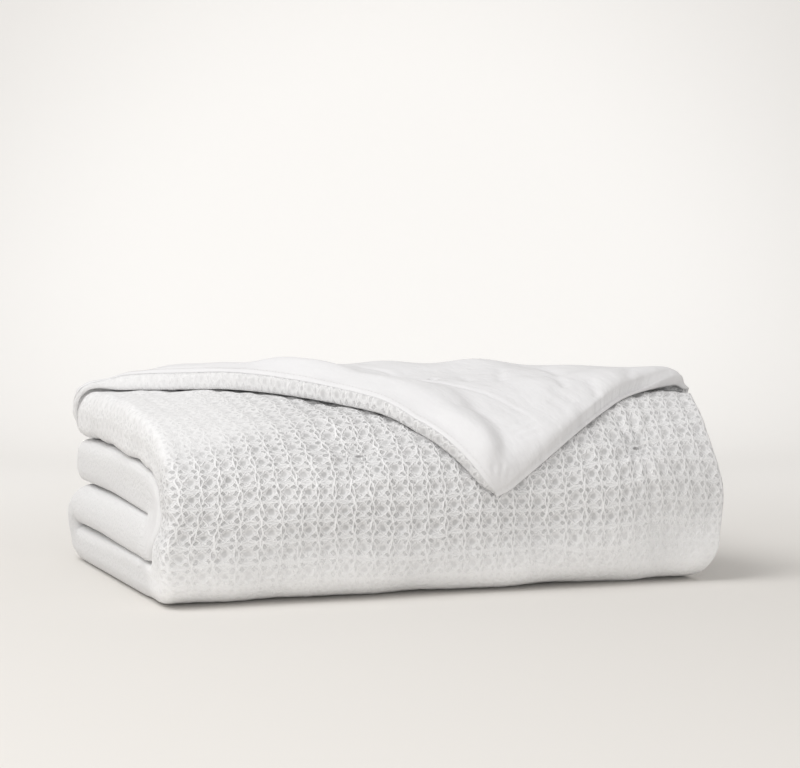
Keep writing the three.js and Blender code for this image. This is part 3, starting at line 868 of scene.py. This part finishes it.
def waffle_rows(f, w):
    """Stops of the waffle face: fine where it shows, coarse between the layers and under the corner."""
    cell = w.pitch_across / w.samples
    row = w.pitch_down / w.samples
    e, d = f.across_ends, f.down_ends
    hidden = [
        (cell, e[2]),
        (COARSE_STEP, e[3] - EDGE_BAND),
        (2 * cell, e[4] + EDGE_BAND),
        (COARSE_STEP, e[5]),
        (2 * cell, e[6]),
        (COARSE_STEP, e[7] - EDGE_BAND),
        (2 * cell, e[7]),
    ]
    seen = (cell, e[1])
    full = stops_from(0.0, seen, *hidden)
    corner = stops_from(0.0, (cell, EDGE_BAND), (COARSE_STEP, COVERED_ACROSS), seen, *hidden)
    tip = stops_from(0.0, (cell, TIP_COVERS[0]), (COARSE_STEP, TIP_COVERS[1]), seen, *hidden)
    lower = stops_from(0.0, (cell, EDGE_BAND), (COARSE_STEP, e[1]), *hidden)
    return rows_from(0.0, [
        (full, row, EDGE_BAND),
        (corner, row, COVERED_DOWN),
        (tip, row, TIP_COVERS_DOWN),
        (full, row, w.foot_end),
        (full, 2 * row, d[2] + EDGE_BAND),
        (lower, COARSE_STEP, d[3]),
        (lower, 2 * row, d[4]),
        (lower, COARSE_STEP, d[5]),
        (lower, row, d[6]),
        (lower, COARSE_STEP, d[7] - EDGE_BAND),
        (lower, 2 * row, d[7]),
    ])


def under_rows(f):
    """Stops of the filling's side under the plain back: closer on the turned corner and round the bends."""
    ends = [UNDER_STRAIGHT, UNDER_BEND, UNDER_STRAIGHT]
    sizes_across = [UNDER_CORNER, UNDER_BEND, UNDER_STRAIGHT, UNDER_BEND, *ends]
    sizes_down = [UNDER_CORNER, UNDER_WRAP, UNDER_STRAIGHT, UNDER_WRAP, *ends]
    stops = stops_from(0.0, *zip(sizes_across, f.across_ends[1:]))
    return rows_from(0.0, [(stops, size, end) for size, end in zip(sizes_down, f.down_ends[1:])])


def plain_rows(f):
    """Stops of the plain back: fine on the turned corner, its rolled edge and the layer it uncovers."""
    e, d = f.across_ends, f.down_ends
    start = [(PLAIN_BEND, 0.0), (PLAIN_BEND, EDGE_BAND)]
    bends = [
        (PLAIN_BEND, e[2]),
        (COARSE_STEP, e[3] - EDGE_BAND),
        (PLAIN_BEND, e[4] + EDGE_BAND),
        (COARSE_STEP, e[5]),
        (PLAIN_BEND, e[6]),
    ]
    creased = [(PLAIN_FINE, CREASED_ACROSS), (PLAIN_MEDIUM, e[1])]
    inner, tail = e[7] - EDGE_BAND, (PLAIN_BEND, e[7])
    shown = stops_from(-f.roll_length, *start, *creased, *bends, (PLAIN_SHOWN, inner), tail)
    lower = stops_from(-f.roll_length, *start, (COARSE_STEP, e[1]), *bends, (COARSE_STEP, inner), tail)
    return rows_from(-f.lap_length, [
        (shown, PLAIN_BEND / 2, 0.0),
        (shown, PLAIN_BEND, EDGE_BAND),
        (shown, PLAIN_FINE, CREASED_DOWN),
        (shown, PLAIN_MEDIUM, d[1]),
        (lower, 2 * PLAIN_MEDIUM, d[2]),
        (lower, COARSE_STEP, d[3]),
        (lower, 2 * PLAIN_MEDIUM, d[4]),
        (lower, COARSE_STEP, d[5]),
        (lower, PLAIN_BEND, d[6]),
        (lower, COARSE_STEP, d[7] - EDGE_BAND),
        (lower, PLAIN_BEND, d[7]),
    ])


def modelled_share(f, across, down):
    """One where the waffle is modelled in the surface, nought where it is hidden or left to the bump."""
    corner = (down > EDGE_BAND) & (down < COVERED_DOWN) & (across < COVERED_ACROSS)
    tip = (down > COVERED_DOWN) & (down < TIP_COVERS_DOWN)
    tip = tip & (across > TIP_COVERS[0]) & (across < TIP_COVERS[1])
    foot = 1 - smooth((down - f.down_ends[2]) / EDGE_BAND)
    return np.where((across > f.across_ends[2]) | corner | tip, 0.0, foot)


def build_waffle_face(f, w):
    """The filled waffle face: its woven side, a rounded sewn edge and a plain side under the back."""
    face = ClothSide(waffle_rows(f, w))
    across, down = face.places.T
    woven = modelled_share(f, across, down)
    place = weave_place(f, across, down)
    uneven = 1 + w.uneven * lumps(w.uneven_waves * down, w.uneven_waves * across)
    relief = waffle_relief(w, place) * woven * uneven * weave_shown(w, place)
    off = half_thickness(f, across, down) - tuck(f, across, down) + tack_shape(f, across, down) + relief
    off = off + lumps(across, down) * woven * smooth(np.minimum(across, down) / EDGE_BAND)
    points = [cloth_point(f, across, down, off)]
    places = [place]
    quads = list(face.quads)
    # Sewn edge: rings from the woven side round to the back, one waffle cell wide
    border = face.border_places()
    out = face.outward()
    upper = half_thickness(f, *border.T) - tuck(f, *border.T)
    lower = back_off(f, *border.T) + f.back_cloth + f.back_gap
    bulge = edge_out(f, *border.T)
    ring = face.border
    begin = len(across)
    for number in range(1, EDGE_RINGS + 1):
        turn = math.pi * number / EDGE_RINGS
        ring_place = place[face.border] + out * w.pitch_down * number / EDGE_RINGS
        sunk = waffle_relief(w, ring_place) * woven[face.border] * math.sin(turn) * (1 - w.rim_fade)
        aside, upright = squared(turn, f.edge_power)
        moved = border + out * ((bulge + sunk) * aside)[:, None]
        ring_off = (upper + lower) / 2 + ((upper - lower) / 2 + sunk) * upright
        points.append(cloth_point(f, *moved.T, ring_off))
        places.append(ring_place)
        fresh = begin + np.arange(len(border))
        quads.append(ring_quads(ring, fresh))
        ring = fresh
        begin += len(border)
    # Side under the plain back
    under = ClothSide(under_rows(f))
    across, down = under.places.T
    deep = f.back_gap + f.back_cloth * (1 + smooth(edge_distance(f, across, down) / EDGE_BAND))
    points.append(cloth_point(f, across, down, back_off(f, across, down) + deep))
    places.append(under.places)
    quads += [begin + faces[:, ::-1] for faces in under.quads]
    lap = 2 * (f.cloth_across + f.cloth_down)
    closing = zip_rings(ring, face.laps(), begin + under.border, under.laps(), lap)
    return mesh_object("waffle_face_visual", np.concatenate(points), quads, [*face.triangles, closing],
                       np.concatenate(places))


def plain_point(f, across, down, inset):
    """A point of the plain back, set in from its outer side: beyond its right edge it rolls round the
    filled edge, far on the turned corner and only a little elsewhere, and beyond its first edge it laps
    over the seam.
    """
    held = np.maximum(across, 0.0)
    kept = np.maximum(down, 0.0)
    lapped = np.clip(-down / f.lap_length, 0.0, 1.0)
    most = f.roll_least + (f.roll_turn - f.roll_least) * turned_share(f, held, kept)
    side_out, side_up = squared(most * np.clip(-across / f.roll_length, 0.0, 1.0), f.roll_power)
    end_out, end_up = squared(f.lap_turn * lapped, f.edge_power)
    clear = f.back_cloth + f.roll_clear
    beyond = (clear - inset) * (1 - f.lap_thin * lapped)
    top = back_off(f, held, kept) + clear - beyond
    bottom = half_thickness(f, held, kept) - tuck(f, held, kept) + beyond
    off = (top + bottom) / 2 - (bottom - top) / 2 * side_up * end_up
    bulge = edge_out(f, held, kept) + beyond
    new_across = np.where(across < 0, -bulge * side_out, across)
    new_down = np.where(down < 0, -bulge * end_out, down)
    return cloth_point(f, new_across, new_down, off)


def build_plain_back(f):
    """The plain back cloth, a thin sheet on the inner side of the filled cloth."""
    side = ClothSide(plain_rows(f))
    outer = plain_point(f, *side.places.T, 0.0)
    inner = plain_point(f, *side.places.T, f.back_cloth)
    border = side.border_places()
    out = np.where(border > 0, side.outward() * f.back_cloth / 2, 0.0)
    rim = plain_point(f, *(border + out).T, f.back_cloth / 2)
    count = len(side.places)
    rim_points = 2 * count + np.arange(len(border))
    quads, triangles = ([faces + count for faces in some] + [faces[:, ::-1] for faces in some]
                        for some in (side.quads, side.triangles))
    quads += [ring_quads(side.border + count, rim_points), ring_quads(rim_points, side.border)]
    places = np.concatenate([side.places, side.places, border])
    return mesh_object("plain_back_visual", np.concatenate([outer, inner, rim]), quads, triangles, places)


def tubes(name, lines, radius):
    """Round threads: a ring about each point of each line, drawn in to a point at both ends.

    lines has the shape threads, points, three.
    """
    threads, count, _ = lines.shape
    sides = STITCH.sides
    along = np.gradient(lines, axis=1)
    along /= np.linalg.norm(along, axis=2, keepdims=True)
    aside = np.cross(along, STITCH.aside)
    aside /= np.linalg.norm(aside, axis=2, keepdims=True)
    upward = np.cross(along, aside)
    turns = np.linspace(0.0, 2 * math.pi, sides, endpoint=False)
    ends = np.abs(np.linspace(-1, 1, count)) ** STITCH.taper
    taper = np.sqrt(np.clip(1 - ends, STITCH.least, 1.0))
    ring = np.cos(turns)[:, None] * aside[:, :, None] + np.sin(turns)[:, None] * upward[:, :, None]
    points = lines[:, :, None] + radius * taper[None, :, None, None] * ring
    number = np.arange(threads * count * sides).reshape(threads, count, sides)
    beside = np.roll(number, -1, axis=2)
    quads = np.stack([number[:, :-1], beside[:, :-1], beside[:, 1:], number[:, 1:]], axis=-1)
    # The point that closes each end, once for each side
    tips = np.arange(2 * threads).reshape(2, threads, 1) + np.full(sides, threads * count * sides)
    start_cap = np.stack([beside[:, 0], number[:, 0], tips[0]], axis=-1)
    end_cap = np.stack([number[:, -1], beside[:, -1], tips[1]], axis=-1)
    everything = np.concatenate([points.reshape(-1, 3), lines[:, 0], lines[:, -1]])
    caps = [start_cap.reshape(-1, 3), end_cap.reshape(-1, 3)]
    return mesh_object(name, everything, [quads.reshape(-1, 4)], caps, np.zeros((len(everything), 2)))


def build_stitches(f):
    """Thread bars in the tacks, and a row of stitches along the seam of the turned corner's left edge."""
    s = STITCH
    along = np.linspace(-s.bar_half, s.bar_half, s.bar_points)
    bars = []
    for tack_across, tack_down in TACKS:
        across = np.broadcast_to(tack_across + along, (len(s.bars), len(along)))
        down = tack_down + s.bars[:, None] + 0.0 * across
        lift = s.rise * (1 - (along / s.bar_half) ** 2)
        off = half_thickness(f, across, down) + tack_shape(f, across, down) + lift
        bars.append(cloth_point(f, across, down, off))
    tack_bars = tubes("tack_stitches", np.concatenate(bars), s.bar_radius)
    starts = steps(s.begin, f.crease_start - s.end_short, s.pitch)
    across = starts[:, None] + np.linspace(0.0, s.long, s.points)
    down = np.full(across.shape, s.inset)
    arch = s.rise * np.sin(np.linspace(0.0, math.pi, s.points))
    seam = tubes("edge_stitches", cloth_point(f, across, down, back_off(f, across, down) - arch), s.radius)
    return tack_bars, seam


def math_method(operation, swapped=False):
    """A method that joins a shader value to another value by a Math node."""
    def method(self, *other):
        return calc(operation, *((*other, self) if swapped else (self, *other)))
    return method


class ShaderValue:
    """An output of a shader node. Sums with it make Math nodes in the same tree."""

    def __init__(self, socket):
        self.socket = socket
        self.tree = socket.id_data

    __add__ = math_method("ADD")
    __sub__ = math_method("SUBTRACT")
    __rsub__ = math_method("SUBTRACT", swapped=True)
    __mul__ = math_method("MULTIPLY")
    __truediv__ = math_method("DIVIDE")
    __abs__ = math_method("ABSOLUTE")


def fill_in(made, given):
    """Links the inputs of a node, by name or number, to shader values, or sets them."""
    for name, value in given.items():
        if isinstance(value, ShaderValue):
            value.tree.links.new(value.socket, made.inputs[name])
        else:
            made.inputs[name].default_value = value


def node(tree, kind, given, output=0, **settings):
    """An output of a new shader node with its settings and inputs."""
    made = tree.nodes.new(kind)
    for key, value in settings.items():
        setattr(made, key, value)
    fill_in(made, given)
    return ShaderValue(made.outputs[output])


def calc(operation, *values):
    """A sum on shader values and numbers."""
    tree = next(value.tree for value in values if isinstance(value, ShaderValue))
    return node(tree, "ShaderNodeMath", dict(enumerate(values)), operation=operation)


def greatest(first, *others):
    """The greatest of some shader values."""
    for other in others:
        first = calc("MAXIMUM", first, other)
    return first


def ramp(value, low, high):
    """One below low, nought above high, and a smooth step between."""
    given = {"Value": value, "From Min": low, "From Max": high, "To Min": 1.0, "To Max": 0.0}
    return node(value.tree, "ShaderNodeMapRange", given, "Result", interpolation_type="SMOOTHSTEP")


def between(value, least):
    """A share drawn up from nought to one, to least to one."""
    return value * (1 - least) + least


def noise(place, scale, detail, output="Fac"):
    """Soft noise on the flat cloth."""
    return node(place.tree, "ShaderNodeTexNoise", {"Vector": place, "Scale": scale, "Detail": detail}, output)


def vector_sum(operation, first, *others, output=0):
    """A sum on places."""
    given = dict(enumerate((first, *others)))
    return node(first.tree, "ShaderNodeVectorMath", given, output, operation=operation)


def split(place):
    """The first two parts of a place."""
    return [node(place.tree, "ShaderNodeSeparateXYZ", {0: place}, axis) for axis in "XY"]


def tint(shade, light=1.0):
    """A colour with a share of its light."""
    return (*(light * part for part in shade), 1.0)


def mix_colour(part, first, second):
    """A blend of two colours."""
    given = dict(zip(MIX_COLOUR_INPUTS, (part, first, second)))
    return node(part.tree, "ShaderNodeMix", given, MIX_COLOUR_OUTPUT, data_type="RGBA")


def bumped(height, distance, strength, under=None):
    """A bump, on top of another."""
    given = {"Height": height, "Distance": distance, "Strength": strength}
    if under is not None:
        given["Normal"] = under
    return node(height.tree, "ShaderNodeBump", given)


def new_material(name, finish):
    """A material with its shader, which has the values of a finish."""
    material = bpy.data.materials.new(name)
    material.use_nodes = True
    shader = material.node_tree.nodes["Principled BSDF"]
    fill_in(shader, finish)
    return material, shader


def new_cloth(name):
    """A matt cotton material with its shader and the place on the flat cloth."""
    material, shader = new_material(name, MATT_COTTON)
    return material, shader, node(material.node_tree, "ShaderNodeUVMap", {}, uv_map="weave")


def yarns(place, pitch):
    """Crossed yarns: the product of two sets of ridges. The wave node's scale is pi over ten pitches."""
    given = {"Vector": place, "Scale": math.pi / (10 * pitch), "Distortion": 0.0}
    first, second = (node(place.tree, "ShaderNodeTexWave", given, "Fac", wave_type="BANDS",
                          bands_direction=direction, wave_profile="SIN") for direction in "XY")
    return first * second


def cell_side(value, pitch):
    """Distance from the middle of a waffle cell, from nought to one at its side."""
    return abs(calc("FRACT", value / pitch) * 2.0 - 1.0)


def strand(w, away, wide, height):
    """Height of a strand by the distance from its middle line."""
    return ramp(abs(away) / wide, *w.strand_falls) * height


def paired(w, here, along, apart, wide, height):
    """Two strands at a cell's side that bow apart by a cosine and meet at the corners."""
    bow = calc("COSINE", along * (math.pi / 2))
    return strand(w, here - (1.0 - bow * bow * apart), wide, height)


def slanted(w, total, middle, apart, wide, height):
    """Two strands at a slant, a distance apart on either side of a middle line."""
    return strand(w, abs(total - middle) - apart, wide, height)


def spot(w, first, second, first_at, second_at, wide, height):
    """A height at a place in the cell, falling to nought a little way from it."""
    a, b = first - first_at, second - second_at
    return ramp(calc("SQRT", a * a + b * b), w.pit_falls * wide, wide) * height


def weave_fade(w, across, down):
    """Share of the weave that shows, as in weave_shown, and less on the sewn edge; the share of the strands'
    light where it does not show, painted light that is most at the foot; and one past the foot, else
    nought, which places the painted shade on the lower rolls.
    """
    top = ramp(down, w.front_begins, w.front_begins + w.front_soft)
    under = ramp(down, w.foot_end, w.foot_end + w.front_soft)
    right = ramp(across - (1.0 - top) * under * w.fade_front, w.fade_start, w.fade_end)
    near = ramp(across, 0.0, w.right_soft)
    left = between(right, w.fade_least) * between(1.0 - near, w.right_least)
    foot = between(ramp(down + near * w.foot_right, w.foot_start, w.foot_end), w.foot_least)
    lost = between(1.0 - ramp(across, *w.rim_from_tip), w.rim_least) * w.rim_fade
    shown = (1.0 - ramp(down, *w.rim_at) * lost) * (left * foot)
    return shown, between((1.0 - foot) * right, w.bare), 1.0 - under


def waffle_material(f, w):
    """Waffle cotton: paired strands along the cells' sides and crossed slanted ones, raised by bump, with
    painted shade on the cloth between them, in the pits, in the tack slits and on the lower rolls, painted
    light where the weave does not show, most at the foot, fuzz and slight shade changes.
    """
    material, shader, place = new_cloth("waffle_cotton")
    across, down = split(place)
    wander = noise(place, *w.wander, "Color")
    moved = vector_sum("MULTIPLY_ADD", wander, (w.warp, w.warp, 0.0), place)
    a, b = (cell_side(part, pitch) for part, pitch in zip(split(moved), (w.pitch_across, w.pitch_down)))
    strands = greatest(
        paired(w, a, b, *w.upright),
        paired(w, b, a, *w.level),
        slanted(w, a - b, *w.forked) * (1.0 - ramp(a + b, *w.fork_ends)),
        slanted(w, a + b, *w.rims),
        strand(w, a + b - w.bridge_at, *w.bridge),
    )
    strands = strands * (noise(place, *w.worn) * w.worn_span[0] + w.worn_span[1])
    faded, plain, inner = weave_fade(w, across, down)
    bare = 1.0 - faded
    patches = noise(place, *w.patchy) * w.patchy_span[0] + w.patchy_span[1]
    pits = greatest(*(spot(w, a, b, *pit) for pit in w.pits)) * (1.0 - strands) * (faded * patches)
    normal = bumped(strands * faded - pits * w.pit_relief, w.strand, w.strand_bump)
    normal = bumped(noise(place, *w.lint), *w.lint_bump, normal)
    normal = bumped(noise(place, *w.nap), w.nap_bump[0], bare * w.nap_bump[1], normal)
    # Painted shade: deep between the strands, dark in the pits; the random fuzz and clouds also darken to
    # them
    deep, dark = tint(w.waffle, w.between), tint(w.waffle, w.pit)
    fuzz = noise(place, *w.fuzzy) * (bare * w.fuzz)
    # Strands keep the full colour; off the weave, plain lifts it as painted light, most at the foot
    shade = mix_colour(strands * faded + bare * plain, deep, tint(w.waffle))
    for part, other in (
        # Painted light at the foot: a brighter waffle colour
        (bare * plain, tint(w.painted_foot_light)),
        (fuzz * fuzz, dark),
        # Painted shade on the rolls under the first one: a share of black
        (inner * w.roll_shade, tint(w.waffle, 0.0)),
        # Painted shade in the pits
        (pits * w.pit_shade, dark),
        (noise(place, *w.cloudy) * w.clouds, deep),
    ):
        shade = mix_colour(part, shade, other)
    # Painted shade in the slit at each tack
    long, wide = f.tack_mark_long, f.tack_mark_wide
    for tack_across, tack_down in weave_place(f, *TACKS.T):
        slit = spot(w, across / long, down / wide, tack_across / long, tack_down / wide, 1.0, f.tack_mark)
        shade = mix_colour(slit, shade, tint(w.slit_dark))
    fill_in(shader, {
        "Base Color": shade,
        "Normal": normal,
        "Subsurface Weight": bare * w.softness,
        "Subsurface Radius": (1.0, 1.0, 1.0),
        "Subsurface Scale": w.soft_reach,
    })
    return material


def plain_material(w):
    """Plain cotton: fine crossed yarns, faint wrinkles and slight shade changes."""
    material, shader, place = new_cloth("plain_cotton")
    drawn = vector_sum("MULTIPLY", place, w.drawn_out)
    normal = bumped(noise(drawn, *w.wrinkled), *w.wrinkle_bump)
    normal = bumped(noise(place, *w.rumpled), *w.rumple_bump, normal)
    normal = bumped(yarns(place, w.yarn_pitch), *w.yarn_bump, normal)
    shade = mix_colour(noise(place, *w.mottled), tint(w.plain, w.mottled_least), tint(w.plain))
    fill_in(shader, {"Normal": normal, "Base Color": shade})
    return material


def thread_material(w):
    """Twisted cotton thread."""
    material, shader, _ = new_cloth("thread")
    grain = noise(node(material.node_tree, "ShaderNodeTexCoord", {}, "Object"), *w.grain)
    shade = mix_colour(grain, tint(w.thread, w.grain_least), tint(w.thread))
    fill_in(shader, {"Normal": bumped(grain, *w.grain_bump), "Base Color": shade})
    return material


def studio_floor(stage, wide, deep):
    """A floor that sweeps up into a backdrop: a straight run, a quarter turn and a wall, drawn out
    sideways, with a soft glow on the backdrop that fades out towards the floor.
    """
    bends = np.linspace(0.0, math.pi / 2, BEND_POINTS)
    curve = np.stack([np.sin(bends), 1.0 - np.cos(bends)], axis=1) * FLOOR_BEND + (FLOOR_RUN, 0.0)
    profile = np.concatenate([[(-FLOOR_HALF, 0.0)], curve, [(FLOOR_RUN + FLOOR_BEND, WALL_TOP)]])
    ahead, up = profile[:, :1] * deep, profile[:, 1:]
    points = np.concatenate([np.concatenate([side * wide + ahead, up], axis=1)
                             for side in (-FLOOR_HALF, FLOOR_HALF)])
    count = len(profile)
    i = np.arange(count - 1)
    faces = np.stack([i, count + i, count + i + 1, i + 1], axis=1)
    made = mesh_object("studio_floor", points, [faces], [], points[:, :2])
    material, shader = new_material("studio_floor", MATT_FLOOR)
    place = node(material.node_tree, "ShaderNodeTexCoord", {}, "Object")
    middle = vector_sum("DISTANCE", place, (*(GLOW_AT[0] * deep), GLOW_AT[1]), output="Value")
    back = vector_sum("DOT_PRODUCT", place, (*deep, 0.0), output="Value")
    spread = between(ramp(middle, *GLOW_REACH), stage.glow_least)
    fill_in(shader, {
        "Base Color": tint(stage.floor),
        "Emission Color": tint(stage.glow),
        "Emission Strength": (1.0 - ramp(back, *GLOW_BEGINS)) * spread,
    })
    made.data.materials.append(material)
    return made


def lamp(name, power, size, place):
    """A soft oval lamp that points at the stack."""
    light = bpy.data.lights.new(name, "AREA")
    light.energy = power
    light.shape = "ELLIPSE"
    light.size, light.size_y = size
    return placed(name, light, place, Vector(LAMPS_AIM) - Vector(place))


class COMFORTER_OT_waffle_face(bpy.types.Operator):
    """Builds the filled waffle face."""

    bl_idname = "comforter.waffle_face"
    bl_label = "Waffle face"

    def execute(self, context):
        f, w = fold_sizes(context), weave_sizes(context)
        made = build_waffle_face(f, w)
        made.data.materials.append(waffle_material(f, w))
        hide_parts("waffle_face")
        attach(made, "root")
        return {"FINISHED"}


class COMFORTER_OT_plain_back(bpy.types.Operator):
    """Builds the plain back."""

    bl_idname = "comforter.plain_back"
    bl_label = "Plain back"

    def execute(self, context):
        f = fold_sizes(context)
        made = build_plain_back(f)
        made.data.materials.append(plain_material(weave_sizes(context)))
        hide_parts("plain_back")
        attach(made, "root")
        return {"FINISHED"}


class COMFORTER_OT_stitches(bpy.types.Operator):
    """Builds the tack stitches and the seam stitches."""

    bl_idname = "comforter.stitches"
    bl_label = "Stitches"

    def execute(self, context):
        material = thread_material(weave_sizes(context))
        for made in build_stitches(fold_sizes(context)):
            made.data.materials.append(material)
            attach(made, "root")
        return {"FINISHED"}


class COMFORTER_OT_stage(bpy.types.Operator):
    """Sets the floor, light and camera."""

    bl_idname = "comforter.stage"
    bl_label = "Studio"

    def execute(self, context):
        stage = context.scene.comforter_stage
        turn, tilt = stage.camera_turn, stage.camera_tilt
        wide = np.array([math.cos(turn), -math.sin(turn)])
        deep = np.array([math.sin(turn), math.cos(turn)])
        floor = studio_floor(stage, wide, deep)
        world = bpy.data.worlds.new("studio")
        world.use_nodes = True
        sky = {"Color": tint(stage.sky), "Strength": stage.sky_strength}
        fill_in(world.node_tree.nodes["Background"], sky)
        context.scene.world = world
        lamp("key", stage.key_power, *KEY_LAMP)
        lamp("fill", stage.fill_power, *FILL_LAMP)
        lens = bpy.data.cameras.new("camera")
        lens.lens = stage.lens
        lens.sensor_width = SENSOR_WIDTH
        place = (stage.camera_x, stage.camera_y, stage.camera_z)
        ahead = (*(deep * math.cos(tilt)), -math.sin(tilt))
        context.scene.camera = placed("camera", lens, place, ahead)
        context.scene.view_settings.view_transform = "Standard"
        return {"FINISHED"}


class COMFORTER_PT_panel(bpy.types.Panel):
    """Lists the steps in the sidebar."""

    bl_idname = "COMFORTER_PT_panel"
    bl_label = "Comforter"
    bl_space_type = "VIEW_3D"
    bl_region_type = "UI"
    bl_category = "Comforter"

    def draw(self, context):
        for operator in OPERATORS:
            self.layout.operator(operator.bl_idname)


SETTINGS = {
    "comforter_fold": FoldSettings,
    "comforter_detail": DetailSettings,
    "comforter_weave": WeaveSettings,
    "comforter_stage": StageSettings,
}
OPERATORS = (COMFORTER_OT_waffle_face, COMFORTER_OT_plain_back, COMFORTER_OT_stitches, COMFORTER_OT_stage)
CLASSES = (*SETTINGS.values(), *OPERATORS, COMFORTER_PT_panel)


def register():
    """Adds the classes and the settings."""
    for item in CLASSES:
        bpy.utils.register_class(item)
    for name, group in SETTINGS.items():
        setattr(bpy.types.Scene, name, PointerProperty(type=group))


def unregister():
    """Removes the settings and the classes."""
    for name in SETTINGS:
        delattr(bpy.types.Scene, name)
    for item in reversed(CLASSES):
        bpy.utils.unregister_class(item)


def main():
    """Builds every piece and the studio."""
    register()
    bpy.ops.comforter.waffle_face()
    bpy.ops.comforter.plain_back()
    bpy.ops.comforter.stitches()
    bpy.ops.comforter.stage()


if __name__ == "__main__":
    main()
